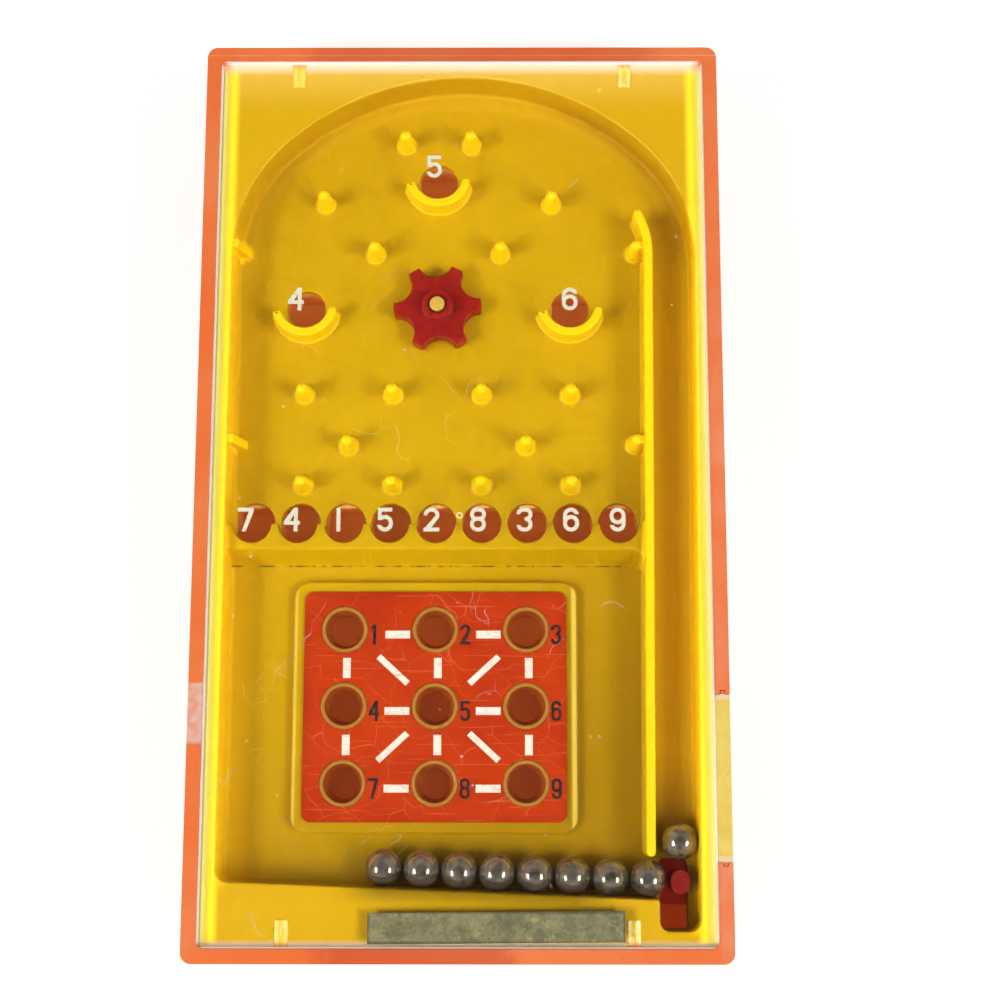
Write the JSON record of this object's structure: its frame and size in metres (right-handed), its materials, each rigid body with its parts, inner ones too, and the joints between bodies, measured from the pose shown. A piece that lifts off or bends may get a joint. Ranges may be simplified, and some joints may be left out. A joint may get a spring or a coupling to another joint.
{
  "type": "pocket dexterity game",
  "caption": "Flat pocket ball game: orange case, yellow moulded field with pegs, cups, spinner and launching lane under a clear cover, score card, loose steel balls.",
  "frame": {"origin": "centre of the flat back face of the case", "axes": "+X to the launching lane's side, +Y to the arched end of the field, +Z out of the clear front"},
  "size_m": [0.0688, 0.1204, 0.015],
  "materials": {
    "orange_plastic": "moulded polystyrene, glossy, lightly scratched",
    "yellow_plastic": "moulded polystyrene, satin gloss",
    "clear_plastic": "clear polystyrene, finely scratched",
    "white_ink": "cream white print",
    "card": "printed card, satin",
    "card_white_ink": "white print, worn",
    "black_ink": "black print",
    "label_paper": "old paper label, bare",
    "tan_plastic": "moulded polystyrene, satin",
    "red_plastic": "moulded polystyrene, satin gloss",
    "spring_steel": "drawn wire",
    "ball_steel": "polished steel ball"
  },
  "bodies": {
    "casing": {"rear_case": "orange_plastic", "playfield": "yellow_plastic", "clear_cover": "clear_plastic", "cover_numerals": "white_ink", "score_card": "card", "card_lines": "card_white_ink", "card_numerals": "black_ink", "label_strip": "label_paper", "slide_retainer": "tan_plastic", "plunger_spring": "spring_steel"},
    "spinner": {"star_spinner": "red_plastic"},
    "launcher": {"plunger": "red_plastic"},
    "lane_ball": {"lane_ball": "ball_steel"},
    "tray_ball_1": {"tray_ball_1": "ball_steel"},
    "tray_ball_2": {"tray_ball_2": "ball_steel"},
    "tray_ball_3": {"tray_ball_3": "ball_steel"},
    "tray_ball_4": {"tray_ball_4": "ball_steel"},
    "tray_ball_5": {"tray_ball_5": "ball_steel"},
    "tray_ball_6": {"tray_ball_6": "ball_steel"},
    "tray_ball_7": {"tray_ball_7": "ball_steel"},
    "tray_ball_8": {"tray_ball_8": "ball_steel"}
  },
  "joints": [
    {"name": "spinner_turn", "type": "hinge", "parent": "casing", "child": "spinner", "pos_m": [-0.0032, 0.0251, 0.01], "axis": [0, 0, 1], "continuous": true},
    {"name": "plunger_slide", "type": "slide", "parent": "casing", "child": "launcher", "axis": [0, 1, 0], "range_m": [-0.0043, 0], "stiffness_N_per_m": 120, "springref_m": 0.004, "deforming": ["plunger_spring"]},
    {"name": "lane_ball_roll", "type": "slide", "parent": "casing", "child": "lane_ball", "axis": [0.0087, 1, 0], "range_m": [0, 0.07]},
    {"name": "tray_ball_8_roll", "type": "slide", "parent": "casing", "child": "tray_ball_8", "axis": [-0.9992, 0.0401, 0], "range_m": [0, 0.018]},
    {"name": "tray_ball_7_roll", "type": "slide", "parent": "casing", "child": "tray_ball_7", "axis": [-0.9992, 0.0401, 0], "range_m": [0, 0.018]},
    {"name": "tray_ball_6_roll", "type": "slide", "parent": "casing", "child": "tray_ball_6", "axis": [-0.9992, 0.0401, 0], "range_m": [0, 0.018]},
    {"name": "tray_ball_5_roll", "type": "slide", "parent": "casing", "child": "tray_ball_5", "axis": [-0.9992, 0.0401, 0], "range_m": [0, 0.018]},
    {"name": "tray_ball_4_roll", "type": "slide", "parent": "casing", "child": "tray_ball_4", "axis": [-0.9992, 0.0401, 0], "range_m": [0, 0.018]},
    {"name": "tray_ball_3_roll", "type": "slide", "parent": "casing", "child": "tray_ball_3", "axis": [-0.9992, 0.0401, 0], "range_m": [0, 0.018]},
    {"name": "tray_ball_2_roll", "type": "slide", "parent": "casing", "child": "tray_ball_2", "axis": [-0.9992, 0.0401, 0], "range_m": [0, 0.018]},
    {"name": "tray_ball_1_roll", "type": "slide", "parent": "casing", "child": "tray_ball_1", "axis": [-0.9992, 0.0401, 0], "range_m": [0, 0.018]}
  ],
  "couplings": [
    {"joint": "tray_ball_1_roll", "follows": "tray_ball_8_roll", "ratio": 1},
    {"joint": "tray_ball_2_roll", "follows": "tray_ball_8_roll", "ratio": 1},
    {"joint": "tray_ball_3_roll", "follows": "tray_ball_8_roll", "ratio": 1},
    {"joint": "tray_ball_4_roll", "follows": "tray_ball_8_roll", "ratio": 1},
    {"joint": "tray_ball_5_roll", "follows": "tray_ball_8_roll", "ratio": 1},
    {"joint": "tray_ball_6_roll", "follows": "tray_ball_8_roll", "ratio": 1},
    {"joint": "tray_ball_7_roll", "follows": "tray_ball_8_roll", "ratio": 1}
  ]
}
